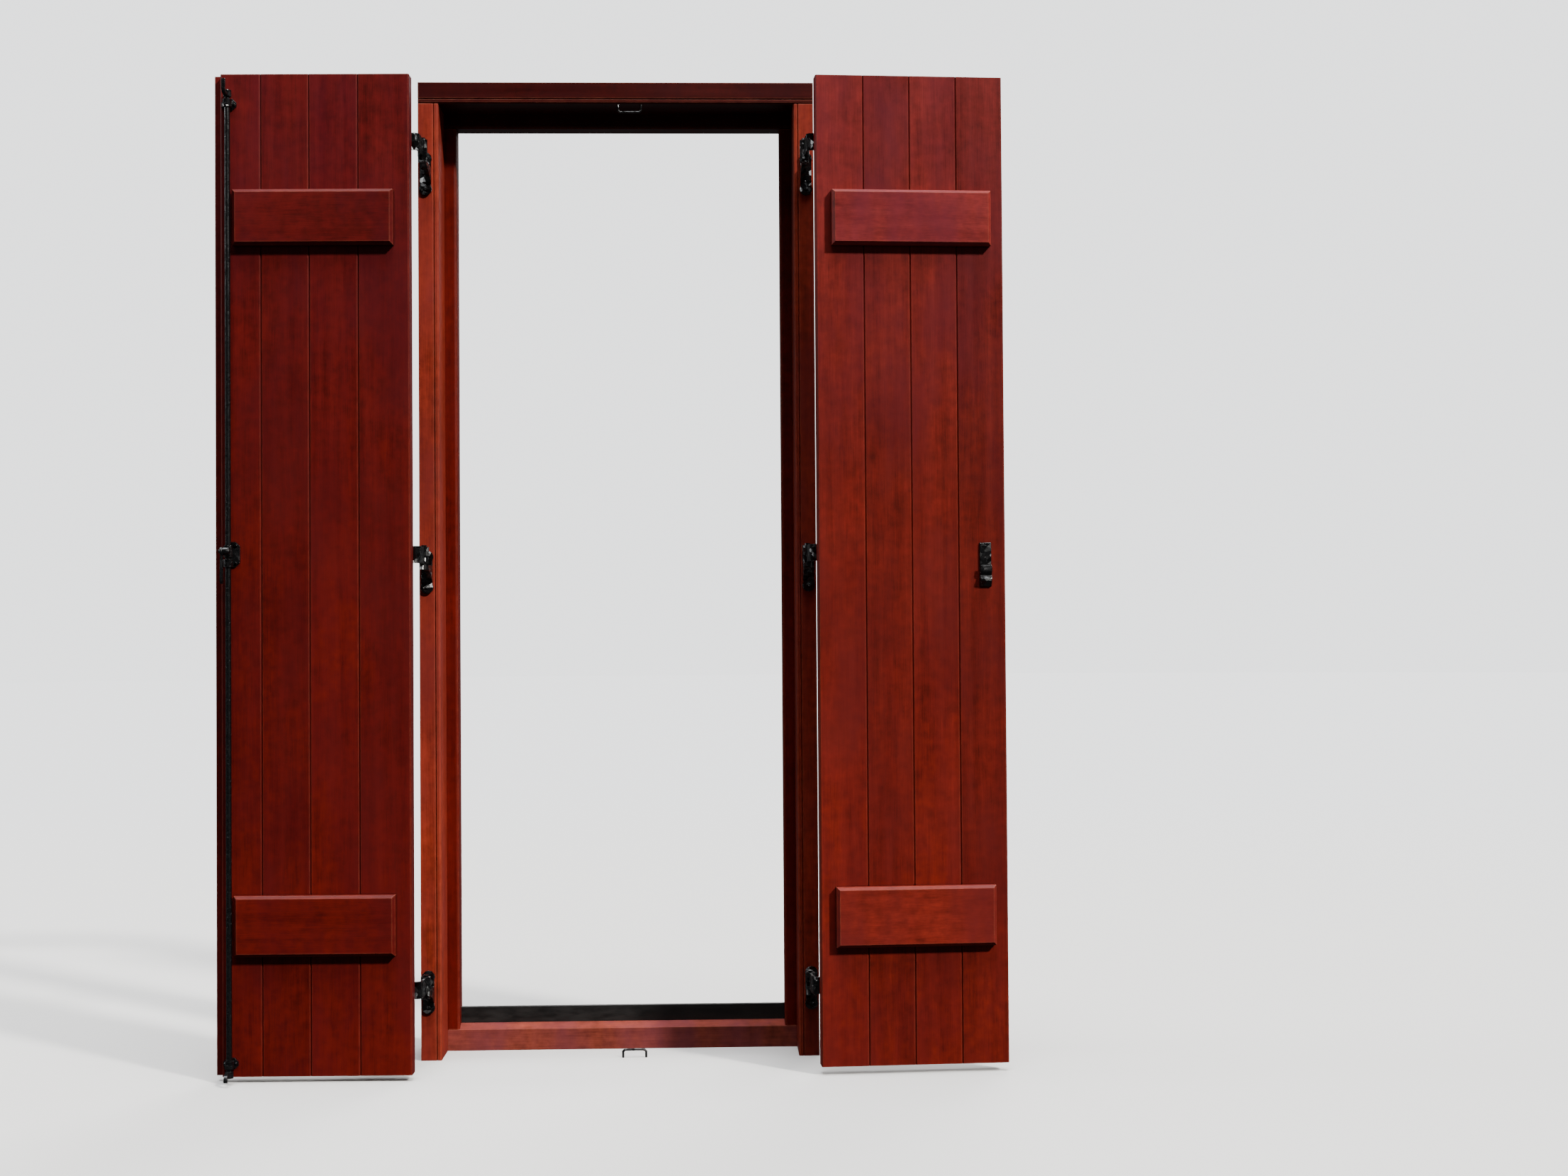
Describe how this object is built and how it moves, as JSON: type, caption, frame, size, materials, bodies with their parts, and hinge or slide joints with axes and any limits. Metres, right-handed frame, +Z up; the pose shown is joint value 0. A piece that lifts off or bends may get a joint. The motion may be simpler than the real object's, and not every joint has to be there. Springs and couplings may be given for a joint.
{
  "type": "window shutters",
  "caption": "Ledged board shutters on a tall casing with its window frame, hung on pintle brackets, with a turning rod bolt, a lever handle and its catch.",
  "frame": {"origin": "centre of the underside of the window frame's bottom rail, on the sill", "axes": "seen from outside, +X to the right, +Y through the frame into the building, +Z up"},
  "size_m": [1.6687, 0.4447, 2.154],
  "materials": {
    "leaf_wood": "red-brown satin varnish on softwood boards, faint vertical grain, lighter worn edges",
    "frame_wood": "red-brown satin varnish, sun-faded on the front, lighter worn edges",
    "black_iron": "hammered iron in glossy black paint, bright glints, small worn spots",
    "threshold_metal": "matte black, dusty"
  },
  "bodies": {
    "frame": {"casing_head": "frame_wood", "casing_jamb_left": "frame_wood", "casing_jamb_right": "frame_wood", "window_head": "frame_wood", "window_jamb_left": "frame_wood", "window_jamb_right": "frame_wood", "window_sill_rail": "frame_wood", "threshold_strip": "threshold_metal", "bracket_screws": "black_iron", "keeper_top": "black_iron", "keeper_sill": "black_iron", "hinge_bracket_left_bottom": "black_iron", "hinge_bracket_left_middle": "black_iron", "hinge_bracket_left_top": "black_iron", "hinge_bracket_right_bottom": "black_iron", "hinge_bracket_right_middle": "black_iron", "hinge_bracket_right_top": "black_iron"},
    "left_leaf": {"left_board_1": "leaf_wood", "left_board_2": "leaf_wood", "left_board_3": "leaf_wood", "left_board_4": "leaf_wood", "left_batten_upper": "leaf_wood", "left_batten_lower": "leaf_wood", "left_strap_bottom": "black_iron", "left_strap_middle": "black_iron", "left_strap_top": "black_iron", "left_strap_screws": "black_iron", "left_batten_screws": "black_iron", "rod_guide_top": "black_iron", "rod_guide_middle": "black_iron", "rod_guide_bottom": "black_iron", "rod_guide_screws": "black_iron"},
    "locking_rod": {"locking_rod": "black_iron", "rod_hook_top": "black_iron", "rod_hook_bottom": "black_iron", "handle_collar": "black_iron", "handle_bolt": "black_iron"},
    "lever": {"handle_lever": "black_iron"},
    "right_leaf": {"right_board_1": "leaf_wood", "right_board_2": "leaf_wood", "right_board_3": "leaf_wood", "right_board_4": "leaf_wood", "right_batten_upper": "leaf_wood", "right_batten_lower": "leaf_wood", "right_strap_bottom": "black_iron", "right_strap_middle": "black_iron", "right_strap_top": "black_iron", "right_strap_screws": "black_iron", "right_batten_screws": "black_iron", "handle_catch": "black_iron", "handle_catch_screws": "black_iron"}
  },
  "joints": [
    {"name": "left_leaf_swing", "type": "hinge", "parent": "frame", "child": "left_leaf", "pos_m": [-0.4125, -0.256, 1.104], "axis": [0, 0, 1], "range_deg": [0, 181.3]},
    {"name": "right_leaf_swing", "type": "hinge", "parent": "frame", "child": "right_leaf", "pos_m": [0.4125, -0.256, 1.104], "axis": [0, 0, -1], "range_deg": [0, 183.5]},
    {"name": "espagnolette_turn", "type": "hinge", "parent": "left_leaf", "child": "locking_rod", "pos_m": [-0.80479, -0.37463, 1.104], "axis": [0, 0, -1], "range_deg": [-90, 90]},
    {"name": "handle_lift", "type": "hinge", "parent": "locking_rod", "child": "lever", "pos_m": [-0.8052, -0.39263, 1.111], "axis": [-0.9997, 0.0227, 0], "range_deg": [0, 100]}
  ]
}
